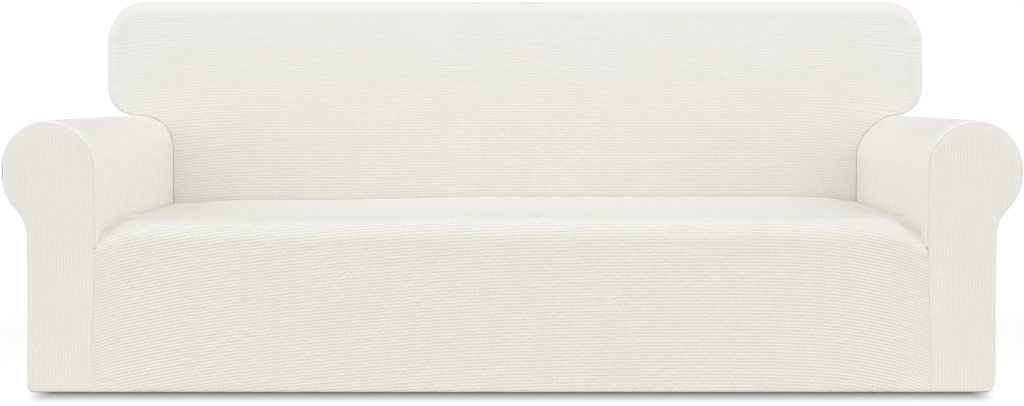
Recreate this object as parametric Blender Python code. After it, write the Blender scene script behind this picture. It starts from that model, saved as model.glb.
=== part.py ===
"""Fitted stretch-knit slipcover for a three-seat sofa with rolled arms and an eared back.

Seven sewn panels, each one closed sheet of cloth about two millimetres thick: the inside and the
outside of the back, the seat with its front skirt, two arm tubes and two keyhole-shaped arm fronts.
X runs along the sofa, the front faces -Y, and Z is up from the floor. Every panel is a loft between
section curves that change along it, so its faces are strips laid between neighbouring curves.
"""
import math

import bmesh
import bpy

# Driving dimensions in metres.
FRONT_Y, REAR_Y = -0.4475, 0.4525   # faces of the arm fronts and of the rear panel
TOP_Z = 0.915                       # top of the back
SEAT_Z = 0.389                      # middle of the seat
BACK_Y = 0.1325                     # face of the back where it meets the seat
BACK_LEAN = 0.030                   # how far that face leans back over its height
WALL_X = 1.081                      # outer arm wall, from the middle
INNER_X = 0.9193                    # inner arm wall, from the middle
EAR_X = 1.111                       # side of an ear, from the middle

ROLL_R, ROLL_DROP = 0.110, 0.009    # radius of the arm's roll and the straight in its outer side
ROLL_X, ROLL_Z = INNER_X + ROLL_R, 0.4965
FILLET_R = 0.085                    # hollow between the roll and the outer wall
EAR_LOW_R, EAR_TOP_R = 0.0825, 0.100
EAR_START = 85.0                    # degrees round the roll at which the ear leaves the arm

CLOTH = 0.0020                      # thickness of the knit
GAP = 0.0006                        # between neighbouring panels
SEAM_GAP = 0.0010                   # round the arm fronts, and between the back and the arms
TUCK = 0.012                        # how far cloth is pushed into a crease
SEAM_TOP_Z = 0.328                  # seam between the skirt and the arm fronts starts here
SEAM_WANDER = 0.010                 # and has moved this far outwards at the floor
HEM_R = 0.005                       # hems turn under on this radius
SEAT_EDGE_R = 0.045                 # front edge of the seat
ARM_EDGE_R = 0.016                  # edge between an arm tube and its front
FACE_EDGE_R = 0.048                 # edges of the ears and of the top, at the front
CREASE_R = 0.010                    # edge of the back where it dips in beside the arms
REAR_EDGE_R = 0.030                 # edges of the rear panel

RIB_PITCH = 0.0072                  # one rib of the knit; on the back it is stretched wider
BACK_RIB_PITCH = 0.0078
RIB_HEIGHT = 0.0010

# The left arm is squarer where it meets the back, and the right one rounder.
SHOULDER = {-1: 0.011, 1: -0.005}

KNIT_COLOUR = (0.80, 0.79, 0.745, 1.0)
TINY = 1e-6


def ease(value, low, high):
    """From 0 at the low value smoothly to 1 at the high one."""
    t = min(max((value - low) / (high - low), 0.0), 1.0)
    return t * t * (3.0 - 2.0 * t)


def spread(first, last, count):
    """Evenly spaced values, ends included."""
    return [first + (last - first) * i / (count - 1) for i in range(count)]


def interpolate(value, xs, ys):
    """Read a table of rising xs."""
    if value <= xs[0]:
        return ys[0]
    for k in range(1, len(xs)):
        if value <= xs[k]:
            share = (value - xs[k - 1]) / max(xs[k] - xs[k - 1], TINY)
            return ys[k - 1] + share * (ys[k] - ys[k - 1])
    return ys[-1]


# ---- flat curves -----------------------------------------------------------------------------

class Curve:
    """A flat chain of straights and arcs, in X outwards from the middle and Z up.

    Each piece is a length and a turn in degrees, left turns positive.
    """

    STEP = 0.002

    def __init__(self, start, heading, pieces):
        x, z = start
        angle = math.radians(heading)
        self.s, self.x, self.z, self.angle = [0.0], [x], [z], [angle]
        for length, turn in pieces:
            steps = max(1, round(length / self.STEP))
            bend = math.radians(turn) / steps
            for _ in range(steps):
                x += math.cos(angle + bend / 2) * length / steps
                z += math.sin(angle + bend / 2) * length / steps
                angle += bend
                self.s.append(self.s[-1] + length / steps)
                self.x.append(x)
                self.z.append(z)
                self.angle.append(angle)

    def length(self):
        return self.s[-1]

    def at(self, s):
        """Point and direction of travel at a distance along the curve."""
        return tuple(interpolate(s, self.s, row) for row in (self.x, self.z, self.angle))

    def at_height(self, z):
        """Point and direction of travel at a height, on a curve that only rises."""
        return self.at(interpolate(z, self.z, self.s))


def arc(radius, turn):
    return radius * math.radians(abs(turn)), turn


# Turn of the roll into the hollow below it, so that the outer wall stands at WALL_X.
HOLLOW_TURN = math.degrees(math.acos(1 - (ROLL_X + ROLL_R - WALL_X) / (ROLL_R + FILLET_R)))
HOLLOW_Z = ROLL_Z - ROLL_DROP - (ROLL_R + FILLET_R) * math.sin(math.radians(HOLLOW_TURN))

# Stations round the roll, in degrees, that the arm and the back beside it share.
ROLL_TURNS = spread(0.0, EAR_START - 3.0, 7)

# The arm's section, from the top of its inner wall over the roll and down to the floor.
ARM_SECTION = Curve((INNER_X, ROLL_Z), 90.0, [
    arc(ROLL_R, -180.0), (ROLL_DROP, 0.0), arc(ROLL_R, -HOLLOW_TURN), arc(FILLET_R, HOLLOW_TURN),
    (HOLLOW_Z, 0.0)])

# Where the ear leaves the arm it runs nearly level, EAR_REACH long, and then turns up.
EAR_TILT = math.radians(90.0 - EAR_START)
EAR_LEAVES_Z = ROLL_Z + ROLL_R * math.cos(EAR_TILT)
EAR_REACH = (EAR_X - INNER_X - (ROLL_R + EAR_LOW_R) * (1 - math.sin(EAR_TILT))) / math.cos(EAR_TILT)
EAR_TURNS_Z = EAR_LEAVES_Z + EAR_REACH * math.sin(EAR_TILT)
EAR_SIDE_Z = EAR_TURNS_Z + EAR_LOW_R * math.cos(EAR_TILT)
CORNER_Z = TOP_Z - EAR_TOP_R * (1 - math.sqrt(0.5))


def outer_outline(inset):
    """The outer wall and the roll going up, as the rear panel and the arm fronts follow them."""
    return Curve((WALL_X - inset, 0.0), 90.0, [
        (HOLLOW_Z, 0.0), arc(FILLET_R + inset, -HOLLOW_TURN), arc(ROLL_R - inset, HOLLOW_TURN),
        (ROLL_DROP, 0.0), arc(ROLL_R - inset, 90.0)])


def ear_outline(inset):
    """The crease beside the arm, the ear and the top corner, up to the corner's diagonal."""
    start_z = SEAT_Z - 0.06
    return Curve((INNER_X - inset, start_z), 90.0, [
        (ROLL_Z - start_z, 0.0), arc(ROLL_R + inset, -EAR_START), (EAR_REACH, 0.0),
        arc(EAR_LOW_R - inset, EAR_START), (TOP_Z - EAR_TOP_R - EAR_SIDE_Z, 0.0),
        arc(EAR_TOP_R - inset, 45.0)])


# ---- meshes ----------------------------------------------------------------------------------

class Sheet:
    """Cloth as two layers of faces, outside and inside, closed along their edges.

    A line is a list of (key, vertex) pairs with rising keys. Strips join neighbouring lines, whose
    vertices need not match in number.
    """

    def __init__(self):
        self.mesh = bmesh.new()

    def line(self, keyed_points):
        return [(key, self.mesh.verts.new(point)) for key, point in keyed_points]

    def strip(self, first, second):
        i, j = 0, 0
        while i < len(first) - 1 or j < len(second) - 1:
            next_i = first[i + 1][0] if i < len(first) - 1 else math.inf
            next_j = second[j + 1][0] if j < len(second) - 1 else math.inf
            step_i, step_j = next_i <= next_j + TINY, next_j <= next_i + TINY
            corners = [first[i][1]]
            if step_i:
                i += 1
                corners.append(first[i][1])
            if step_j:
                corners.append(second[j + 1][1])
            corners.append(second[j][1])
            j += 1 if step_j else 0
            corners = list(dict.fromkeys(corners))
            if len(corners) > 2:
                self.mesh.faces.new(corners)

    def layer(self, lines):
        for first, second in zip(lines, lines[1:]):
            self.strip(first, second)

    def close(self, outside, inside, keys_out, keys_in):
        """Join the four edges of two layers of lines."""
        for end in (0, -1):
            self.strip(outside[end], inside[end])
            self.strip([(key, line[end][1]) for key, line in zip(keys_out, outside)],
                       [(key, line[end][1]) for key, line in zip(keys_in, inside)])

    def finish(self, name, collection, material):
        bmesh.ops.recalc_face_normals(self.mesh, faces=self.mesh.faces)
        data = bpy.data.meshes.new(name)
        self.mesh.to_mesh(data)
        self.mesh.free()
        data.materials.append(material)
        data.shade_smooth()
        data.set_sharp_from_angle(angle=math.radians(50))
        item = bpy.data.objects.new(name, data)
        collection.objects.link(item)


def lifted(surface, a, b, height, out, step=0.0005):
    """The surface's point at (a, b), moved along its normal. out is -1 where a x b points inwards."""
    point = surface(a, b)
    along = [p - q for p, q in zip(surface(a + step, b), surface(a - step, b))]
    across = [p - q for p, q in zip(surface(a, b + step), surface(a, b - step))]
    normal = (along[1] * across[2] - along[2] * across[1],
              along[2] * across[0] - along[0] * across[2],
              along[0] * across[1] - along[1] * across[0])
    size = math.hypot(*normal)
    return tuple(p + out * height * n / size for p, n in zip(point, normal))


def hem_inset(z):
    """How far a wall has turned under at a height just above the floor."""
    if z >= HEM_R:
        return 0.0
    return HEM_R - math.sqrt(max(HEM_R ** 2 - (HEM_R - z) ** 2, 0.0))


def hem_heights(steps):
    """Heights round the turn of a hem, floor first."""
    return [HEM_R * (1 - math.cos(angle)) for angle in spread(0.0, math.pi / 2, steps)]


# ---- seat and skirt --------------------------------------------------------------------------

def seat_height(x, y):
    """The seat is nearly level, lower at its ends and drawn down at its front corners."""
    left = 0.011 * ease(-x, 0.05, 0.55) + 0.009 * ease(-x, 0.72, 0.92) * ease(y, -0.34, -0.14)
    right = 0.012 * ease(x, 0.80, 0.92)
    corners = 0.026 * ease(abs(x), 0.85, 0.92) * (1 - ease(y - FRONT_Y, 0.020, 0.135))
    return SEAT_Z - left - right - corners


def skirt_seam_x(z):
    """Side of the skirt: it follows the arm tube's front edge round, then wanders outwards."""
    fall = SEAM_TOP_Z - z
    turn = math.pi / 2 * min(max(fall / ARM_EDGE_R, 0.0), 1.0)
    return INNER_X - GAP + ARM_EDGE_R * (1 - math.cos(turn)) + SEAM_WANDER * ease(fall, 0.0, 0.3)


# How far below its middle a rib of the skirt has sunk, along the sofa.
RIB_SAG = [
    # x       drop
    (-0.920, 0.050),
    (-0.885, 0.058),
    (-0.850, 0.062),
    (-0.800, 0.049),
    (-0.690, 0.037),
    (-0.580, 0.028),
    (-0.470, 0.018),
    (-0.350, 0.010),
    (-0.200, 0.003),
    (0.000, 0.000),
    (0.620, 0.002),
    (0.760, 0.004),
    (0.800, 0.008),
    (0.850, 0.021),
    (0.885, 0.017),
    (0.920, 0.008),
]


def rib_sag(x):
    return interpolate(x, [row[0] for row in RIB_SAG], [row[1] for row in RIB_SAG])


SEAT_REAR_Y = BACK_Y - GAP - TUCK
SEAT_RUN = SEAT_REAR_Y - (FRONT_Y + SEAT_EDGE_R)            # from the front edge to the crease
SEAT_BACK = -(SEAT_RUN + TUCK * math.pi / 2)
SKIRT_TOP = SEAT_EDGE_R * math.pi / 2
TUCK_U = 0.987                      # share of the half width at which the seat dips in beside an arm


def skirt_length(u):
    """Length of cloth from the top of the seat's front edge to the end of the hem."""
    wall = seat_height(u * INNER_X, FRONT_Y) - SEAT_EDGE_R - HEM_R
    return SKIRT_TOP + wall + HEM_R * math.pi / 2


def skirt_point(u, s):
    """Seat and skirt at a share u of the half width.

    s runs down the skirt, and below 0 back over the seat.
    """
    x = u * (INNER_X - GAP)
    if s <= 0:
        y = FRONT_Y + SEAT_EDGE_R - s
        dip = 0.0
        if y > SEAT_REAR_Y:
            turn = (y - SEAT_REAR_Y) / TUCK
            y, dip = SEAT_REAR_Y + TUCK * math.sin(turn), TUCK * (1 - math.cos(turn))
        z = seat_height(x, y) - dip
    elif s < SKIRT_TOP:
        turn = s / SEAT_EDGE_R
        y = FRONT_Y + SEAT_EDGE_R * (1 - math.sin(turn))
        z = seat_height(x, y) - SEAT_EDGE_R * (1 - math.cos(turn))
    else:
        y = FRONT_Y
        z = seat_height(x, FRONT_Y) - SEAT_EDGE_R - (s - SKIRT_TOP)
        if z < HEM_R:
            turn = (HEM_R - z) / HEM_R
            y, z = FRONT_Y + HEM_R * (1 - math.cos(turn)), HEM_R * (1 - math.sin(turn))
    seated = ease(y - FRONT_Y, 0.100, 0.220)
    z -= TUCK * seated * max(0.0, (abs(u) - TUCK_U) / (1 - TUCK_U)) ** 2
    front = 1 - ease(y - FRONT_Y, 0.030, 0.060)
    billow = 0.003 * (1 - u ** 4) * math.sin(math.pi * min(z / SEAT_Z, 1.0)) * front
    return u * skirt_seam_x(z) if s > 0 else x, y - billow, z


RIB_KEY = 100.0                     # keys of the skirt's ribs start here, past those of the seat


def rib_key(s, sag):
    return RIB_KEY + 2 * (s - sag) / RIB_PITCH


def seat_skirt():
    """Two rows of points a rib: a groove and a crest. Ribs run off the hem where they sag."""
    sheet = Sheet()
    columns = [-1.0, -TUCK_U, -0.96, -0.925, -0.87, -0.77, -0.62, -0.42, -0.2]
    columns += [0.1, 0.4, 0.65, 0.83, 0.87, 0.925, 0.96, TUCK_U, 1.0]
    seat_steps = [SEAT_BACK, SEAT_BACK + 0.010, -SEAT_RUN, -0.40, -0.24, -0.12, -0.07, -0.035, 0.0]
    outside, inside = [], []
    for u in columns:
        length, sag = skirt_length(u), rib_sag(u * INNER_X)
        line = [(s, lifted(skirt_point, u, s, 0.0, -1)) for s in seat_steps]
        rib = 1 - math.floor(2 * sag / RIB_PITCH)
        while rib * RIB_PITCH / 2 + sag < length - 0.3 * RIB_PITCH:
            s = rib * RIB_PITCH / 2 + sag
            height = RIB_HEIGHT * (rib % 2) * ease(s, 0.0, 0.03) * ease(length - s, 0.01, 0.03)
            line.append((RIB_KEY + rib, lifted(skirt_point, u, s, height, -1)))
            rib += 1
        line.append((rib_key(length, sag), lifted(skirt_point, u, length, 0.0, -1)))
        outside.append(sheet.line(line))
    for u in columns:
        length, sag = skirt_length(u), rib_sag(u * INNER_X)
        hem = length - HEM_R * math.pi / 2
        steps = spread(0.0, SKIRT_TOP, 7)[1:] + spread(SKIRT_TOP, hem, 4)[1:] + spread(hem, length, 4)[1:]
        line = [(s, lifted(skirt_point, u, s, -CLOTH, -1)) for s in seat_steps]
        line += [(rib_key(s, sag), lifted(skirt_point, u, s, -CLOTH, -1)) for s in steps]
        inside.append(sheet.line(line))
    sheet.layer(outside)
    sheet.layer(inside)
    sheet.close(outside, inside, columns, columns)
    return sheet


# ---- arms ------------------------------------------------------------------------------------

def swell(side, x, z, y):
    """The roll's inner shoulder grows squarer or rounder towards the back. Returns the shift."""
    angle = math.atan2(z - ROLL_Z, ROLL_X - x)
    if not 0.0 < angle < math.pi / 2:
        return 0.0, 0.0
    amount = SHOULDER[side] * math.sin(2 * angle) ** 2 * ease(y - FRONT_Y, 0.1, 0.5)
    return -amount * math.cos(angle), amount * math.sin(angle)


def back_face_y(x, z):
    """Face of the back: it leans, and is a little fuller in the middle."""
    rise = max(z - SEAT_Z, 0.0) / (TOP_Z - SEAT_Z)
    crown = 0.010 * math.sin(math.pi * min(rise, 1.0)) * (1 - min(abs(x) / EAR_X, 1.0) ** 4)
    return BACK_Y + BACK_LEAN * rise - crown


ARM_START_Y = FRONT_Y + ARM_EDGE_R
REAR_SEAM_Y = REAR_Y - REAR_EDGE_R - GAP


def arm_foot(side, y, turn):
    """Lower edge of an arm's inner wall: on the skirt's seam in front, tucked in beside the seat."""
    seam = SEAM_TOP_Z - ARM_EDGE_R * turn / (math.pi / 2) + SEAM_GAP
    tucked = seat_height(side * INNER_X, y) - TUCK
    return seam + (tucked - seam) * ease(y - ARM_START_Y, 0.0, 0.04)


def arm_surface(side):
    """Arm tube by the way round its section, a, and the way back from its front edge, w.

    Below 0, a is a share of the inner wall and w a share of the front edge's turn.
    """
    def point(a, w):
        turn = math.pi / 2 * max(-w, 0.0)
        y = ARM_START_Y + w if w > 0 else ARM_START_Y - ARM_EDGE_R * math.sin(turn)
        inset = ARM_EDGE_R * (1 - math.cos(turn))
        if a < 0:
            x, z, angle = INNER_X, ROLL_Z + a * (ROLL_Z - arm_foot(side, y, turn)), math.pi / 2
        else:
            x, z, angle = ARM_SECTION.at(a)
            if a > ARM_SECTION.length():
                z -= a - ARM_SECTION.length()
            shift_x, shift_z = swell(side, x, z, y)
            x, z = x + shift_x, z + shift_z
        x, z = x + inset * math.sin(angle), z - inset * math.cos(angle)
        under = hem_inset(z)
        return side * (x - under * math.cos(turn)), y + under * math.sin(turn), z
    return point


def arm(side):
    sheet = Sheet()
    surface = arm_surface(side)
    over = ROLL_R * math.pi
    hollow = over + ROLL_DROP + ROLL_R * math.radians(HOLLOW_TURN)
    wall = ARM_SECTION.length() - HOLLOW_Z
    ear = ROLL_R * math.radians(EAR_START)
    floor = ARM_SECTION.length()

    places = [-1.0, -0.5] + [ROLL_R * math.radians(turn) for turn in ROLL_TURNS]
    places += spread(ear, over, 9) + spread(over + ROLL_DROP, hollow, 5)
    places += spread(hollow, wall, 5)[1:] + [wall + 0.15]
    places += [floor - z for z in reversed(hem_heights(4))]

    edge = [-1.0, -0.67, -0.33, 0.0]
    front = edge + [0.028, 0.056, 0.084, 0.113]
    seam = REAR_SEAM_Y - ARM_START_Y
    layers = []
    for lengthways, height in ((front + [0.25, 0.40], 0.0), (edge[::3] + [0.056, 0.113], -CLOTH)):
        lines = []
        for a in places:
            x, _, z = surface(a, 0.3)
            behind_face = back_face_y(x, z) + TUCK - ARM_START_Y
            ways = lengthways + [behind_face] + ([seam] if a >= ear else [])
            lines.append(sheet.line([(w, lifted(surface, a, w, height, side)) for w in ways]))
        sheet.layer(lines)
        layers.append(lines)
    sheet.close(*layers, places, places)
    return sheet


def arm_front(side):
    """Keyhole-shaped panel with upright ribs, inside the arm tube's front edge."""
    sheet = Sheet()
    inset = ARM_EDGE_R + SEAM_GAP
    outline = outer_outline(inset)
    radius = ROLL_R - inset
    leg = WALL_X - inset
    seam_z = spread(SEAM_TOP_Z - ARM_EDGE_R, 0.0, 60)
    seam_x = [skirt_seam_x(z) + SEAM_GAP for z in seam_z]
    first, last = seam_x[0], ROLL_X + radius - 0.002

    widest = outline.x.index(max(outline.x))
    under_roll = outline.x[:widest], outline.z[:widest]

    def low(x):
        if x < seam_x[-1]:
            return interpolate(x, seam_x, seam_z)
        return interpolate(x, *under_roll) if x > leg else 0.0

    def high(x):
        return ROLL_Z + math.sqrt(max(radius ** 2 - (x - ROLL_X) ** 2, 0.0))

    def surface(x, z):
        across = 1 - abs(2 * (x - first) / (last - first) - 1) ** 3
        rise = min(max(z / high(x), 0.0), 1.0)
        crown = 0.004 * across * math.sin(math.pi * rise)
        return side * x, FRONT_Y + hem_inset(z) - crown, z

    def layer(places, heights, lift_of):
        lines = []
        for k, x in enumerate(places):
            bottom, top = low(x), high(x)
            inner = [z for z in heights if bottom + 0.004 < z < top - 0.006]
            lines.append(sheet.line([(z, lifted(surface, x, z, lift_of(k, z), side))
                                     for z in [bottom] + inner + [top]]))
        sheet.layer(lines)
        return lines

    half_rib = RIB_PITCH / 2
    corner = [leg, leg + 0.0005]
    seam = seam_x[::8] + [seam_x[-1]]
    ribs = [seam[-1] + half_rib * k for k in range(1, int((last - seam[-1]) / half_rib) + 1)]
    ribs = seam + sorted([x for x in ribs if abs(x - leg) > half_rib / 2] + corner)
    plain = [x for x in ribs[len(seam) + 3::4] if abs(x - leg) > half_rib]
    plain = sorted({*seam, *plain, *corner, last})
    hem = hem_heights(4)[1:]
    outside = layer(ribs, hem + [0.12, 0.24, 0.33, 0.40, 0.46, 0.52, 0.56],
                    lambda k, z: RIB_HEIGHT * (k % 2) * ease(z, 0.01, 0.03))
    inside = layer(plain, hem + [0.24, 0.40, 0.52], lambda k, z: -CLOTH)
    sheet.close(outside, inside, ribs, plain)
    return sheet


# ---- back ------------------------------------------------------------------------------------

class BackForm:
    """Face, rolled edge and walls of the inside or the outside of the back.

    A row is a height in the middle of the face. At each side it ends at a height of the outline,
    from which the cloth turns over the edge and runs to its seam.
    """

    def __init__(self, facing, bottom, edge_r, seam_y):
        self.facing, self.bottom, self.edge_r, self.seam_y = facing, bottom, edge_r, seam_y
        self.top = TOP_Z - edge_r
        self.ears = ear_outline(SEAM_GAP if facing < 0 else 0.0)
        self.corner_x = EAR_X - EAR_TOP_R

    def face(self, u, row):
        side = 1 if u > 0 else -1
        x, z, nx, nz, radius = self.edge(side, row)
        end_x, end_z = x - radius * nx, z - radius * nz
        x = abs(u) * end_x
        fade = 1 - ease(row, self.bottom, self.bottom + 0.25)
        crown = self.crown(side * x) * fade
        rest = row - end_z - self.crown(side * end_x) * fade
        bend = (max(abs(u) - 0.72, 0.0) / 0.28) ** 2
        corner_r = EAR_TOP_R - self.edge_r
        beyond = min(max(x - self.corner_x, 0.0), corner_r * 0.99)
        round_bend = (corner_r - math.sqrt(corner_r ** 2 - beyond ** 2)) / (corner_r * (1 - math.sqrt(0.5)))
        near_top = ease(row, self.top - 0.07, self.top)
        z = row - crown - rest * (bend * (1 - near_top) + round_bend * near_top)
        return side * x, self.face_y(side * x, z) - self.facing * hem_inset(z), z

    def over_edge(self, x, z, nx, nz, radius, y, turn, run, lift, seam_y):
        """From the face's edge over the rolled edge by a turn, then a share of the way to the seam."""
        deep = radius * (1 - math.cos(turn))
        y_edge = y - self.facing * deep
        y_edge += run * (seam_y - y_edge)
        reach = (radius + lift) * math.sin(turn)
        under = hem_inset(z)
        return (x + reach * nx - under * nx * math.sin(turn),
                y_edge + self.facing * (lift - under) * math.cos(turn), z + reach * nz)

    def top_point(self, u, turn, run, lift):
        x, y, z = self.face(u, self.top)
        lean = min(max((abs(x) - self.corner_x) / (EAR_TOP_R - self.edge_r), 0.0), math.sqrt(0.5))
        nx, nz = math.copysign(lean, u), math.sqrt(1 - lean ** 2)
        return self.over_edge(x, z, nx, nz, self.edge_r, y, turn, run, lift, self.seam_y)

    def side_point(self, side, row, turn, run, lift):
        x, z, nx, nz, radius = self.edge(side, row)
        face_x, y, face_z = self.face(side, row)
        y += self.facing * hem_inset(face_z)
        seam_y = self.seam_y if self.walled(side, row) else y - self.facing * (radius + 0.004)
        return self.over_edge(face_x, face_z, side * nx, nz, radius, y, turn, run, lift, seam_y)


class InsideBack(BackForm):
    def __init__(self):
        super().__init__(-1, SEAT_Z - TUCK, FACE_EDGE_R, REAR_SEAM_Y)

    def crown(self, x):
        return SEAT_Z - seat_height(x, BACK_Y)

    def outline_z(self, side, row):
        """Height of the outline at which a row ends: ribs sink towards the ears."""
        sunk = [self.crown(side * INNER_X), 0.022, 0.040, 0.030, self.top - CORNER_Z]
        return row - interpolate(row, [self.bottom, 0.60, 0.69, 0.78, self.top], sunk)

    def walled(self, side, row):
        return self.outline_z(side, row) > EAR_LEAVES_Z

    def edge(self, side, row):
        height = self.outline_z(side, row)
        x, z, angle = self.ears.at_height(height)
        shift_x, shift_z = (0.0, 0.0) if self.walled(side, row) else swell(side, x, z, BACK_Y)
        radius = CREASE_R + (self.edge_r - CREASE_R) * ease(height, 0.60, 0.70)
        return x + shift_x, z + shift_z, math.sin(angle), -math.cos(angle), radius

    def face_y(self, x, z):
        return back_face_y(x, z)


class OutsideBack(BackForm):
    NOTCH_Z = ROLL_Z + ROLL_R
    NOTCH_EDGE_DROP = 0.018         # the edge is this much tighter in the notch above the arm

    def __init__(self):
        super().__init__(1, 0.0, REAR_EDGE_R, REAR_Y - REAR_EDGE_R)
        self.arms = outer_outline(0.0)

    def crown(self, x):
        return 0.0

    def walled(self, side, row):
        return True

    def edge(self, side, row):
        height = min(row, CORNER_Z)
        curve = self.arms if height <= self.NOTCH_Z else self.ears
        x, z, angle = curve.at_height(height)
        radius = self.edge_r - self.NOTCH_EDGE_DROP * (1 - ease(abs(height - self.NOTCH_Z), 0.0, 0.06))
        return x, z, math.sin(angle), -math.cos(angle), radius

    def face_y(self, x, z):
        hollow = 0.004 * math.sin(math.pi * min(max(z, 0.0) / TOP_Z, 1.0)) * (1 - min(abs(x), 1.0) ** 2)
        return REAR_Y - hollow


def boxed_layer(sheet, form, columns, rows, side_rows, depths, lift_of):
    """One layer of a back panel. Returns its bottom edge and the three parts of its seam edge."""
    out = -form.facing
    depth_keys = [form.top + 1 + k for k in range(len(depths))]
    faces = []
    for u in columns:
        line = [(row, lifted(form.face, u, row, lift_of(k), out)) for k, row in enumerate(rows)]
        line += [(key, form.top_point(u, turn, run, min(lift_of(0), 0.0)))
                 for key, (turn, run) in zip(depth_keys, depths)]
        faces.append(sheet.line(line))
    sheet.layer(faces)
    bottom = [(u, line[0][1]) for u, line in zip(columns, faces)]
    seams = [[(u, line[-1][1]) for u, line in zip(columns, faces)]]
    for side, face in ((-1, faces[0]), (1, faces[-1])):
        previous = face[:len(rows)]
        for k, (turn, run) in enumerate(depths):
            corner = face[len(rows) + k][1]
            line = sheet.line([(row, form.side_point(side, row, turn, run, min(lift_of(0), 0.0)))
                               for row in side_rows[:-1]])
            line.append((form.top, corner))
            sheet.strip(previous, line)
            bottom.append((side * (2 + k), line[0][1]))
            previous = line
        seams.append(previous)
    bottom.sort(key=lambda pair: pair[0])
    return bottom, seams


def boxed_panel(form, outer, inner):
    """A back panel from the settings of its two layers."""
    sheet = Sheet()
    bottom_out, seams_out = boxed_layer(sheet, form, *outer)
    bottom_in, seams_in = boxed_layer(sheet, form, *inner)
    sheet.strip(bottom_out, bottom_in)
    for first, second in zip(seams_out, seams_in):
        sheet.strip(first, second)
    return sheet


def inside_back():
    form = InsideBack()
    count = 2 * round((form.top - form.bottom) / BACK_RIB_PITCH) + 1
    rows = spread(form.bottom, form.top, count)
    columns = spread(-0.70, 0.70, 5)
    sides = [0.80, 0.88, 0.94, 0.965, 0.985, 1.0]
    columns = [-u for u in reversed(sides)] + columns + sides

    heights = [0.43] + [ROLL_Z + ROLL_R * math.sin(math.radians(turn)) for turn in ROLL_TURNS]
    heights += [EAR_LEAVES_Z, EAR_TURNS_Z]
    heights += [EAR_SIDE_Z - EAR_LOW_R * math.cos(math.radians(turn)) for turn in (20, 35, 50, 65, 78)]
    heights += [EAR_SIDE_Z, 0.75, 0.80, 0.82, 0.84, 0.86]
    ends = [form.outline_z(-1, row) for row in rows]
    side_rows = rows[:1] + [interpolate(height, ends, rows) for height in heights] + rows[-1:]
    depths = [(math.radians(turn), run) for turn, run in ((30, 0.0), (60, 0.0), (90, 0.0), (90, 1.0))]
    return boxed_panel(
        form, (columns, rows, side_rows, depths, lambda k: RIB_HEIGHT * (k % 2) * (k > 4)),
        (columns, side_rows, side_rows, depths, lambda k: -CLOTH))


def outside_back():
    form = OutsideBack()
    notch = form.NOTCH_Z
    rows = hem_heights(4) + [0.18, HOLLOW_Z, 0.368, 0.390, 0.415, 0.450, ROLL_Z]
    rows += [ROLL_Z + ROLL_R * math.sin(math.radians(turn)) for turn in (20, 40, 58, 74, 89)]
    rows += [notch + 0.0006, notch + 0.008, notch + 0.025, notch + 0.050, 0.690, 0.815, 0.850, form.top]
    columns = [-1.0, -0.93, -0.80, -0.40, 0.0, 0.40, 0.80, 0.93, 1.0]
    depths = [(math.radians(turn), run) for turn, run in ((30, 0.0), (60, 0.0), (90, 1.0))]
    settings = columns, rows, rows, depths
    return boxed_panel(form, (*settings, lambda k: 0.0), (*settings, lambda k: -CLOTH))


# ---- the cover -------------------------------------------------------------------------------

def knit():
    material = bpy.data.materials.new("ivory_knit")
    material.use_nodes = True
    shader = material.node_tree.nodes["Principled BSDF"]
    shader.inputs["Base Color"].default_value = KNIT_COLOUR
    shader.inputs["Roughness"].default_value = 0.95
    shader.inputs["Metallic"].default_value = 0.0
    return material


def main():
    for item in list(bpy.data.objects):
        bpy.data.objects.remove(item)
    collection = bpy.data.collections.new("sofa_slipcover")
    bpy.context.scene.collection.children.link(collection)
    panels = {
        "inside_back": inside_back(),
        "outside_back": outside_back(),
        "seat_skirt": seat_skirt(),
        "arm_left": arm(-1),
        "arm_right": arm(1),
        "arm_front_left": arm_front(-1),
        "arm_front_right": arm_front(1),
    }
    for name, sheet in panels.items():
        sheet.finish(name, collection, knit())


main()
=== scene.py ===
"""Dresses the sofa slipcover: seven panels of ivory rib knit, and a plain white studio.

Each panel is a closed sheet whose outer face carries the ribs of the knit and whose inner face is
plain. X runs along the sofa, the front faces -Y, and Z is up from the floor.
"""
from math import acos, cos, degrees, inf, pi, radians, sin, sqrt

import bmesh
import bpy
import numpy as np
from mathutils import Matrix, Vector


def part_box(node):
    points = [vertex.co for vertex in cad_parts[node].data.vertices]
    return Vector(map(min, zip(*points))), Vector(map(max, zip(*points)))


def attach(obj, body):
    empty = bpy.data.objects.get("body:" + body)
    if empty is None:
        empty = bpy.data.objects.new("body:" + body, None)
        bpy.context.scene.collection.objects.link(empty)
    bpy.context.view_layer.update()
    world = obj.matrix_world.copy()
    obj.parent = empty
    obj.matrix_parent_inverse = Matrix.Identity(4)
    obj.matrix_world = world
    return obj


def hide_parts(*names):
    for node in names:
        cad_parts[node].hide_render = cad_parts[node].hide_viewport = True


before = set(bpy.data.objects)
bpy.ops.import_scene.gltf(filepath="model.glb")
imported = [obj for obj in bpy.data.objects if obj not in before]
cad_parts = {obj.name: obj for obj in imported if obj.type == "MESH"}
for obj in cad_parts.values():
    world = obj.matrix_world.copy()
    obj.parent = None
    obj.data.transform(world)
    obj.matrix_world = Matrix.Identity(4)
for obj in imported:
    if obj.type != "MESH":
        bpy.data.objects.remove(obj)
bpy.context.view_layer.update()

bl_info = {
    "name": "Sofa slipcover",
    "version": (1, 0, 0),
    "blender": (4, 5, 0),
    "location": "3D View > Sidebar > Slipcover",
    "description": "Builds a fitted rib-knit sofa slipcover and its studio",
    "category": "Add Mesh",
}

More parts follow.
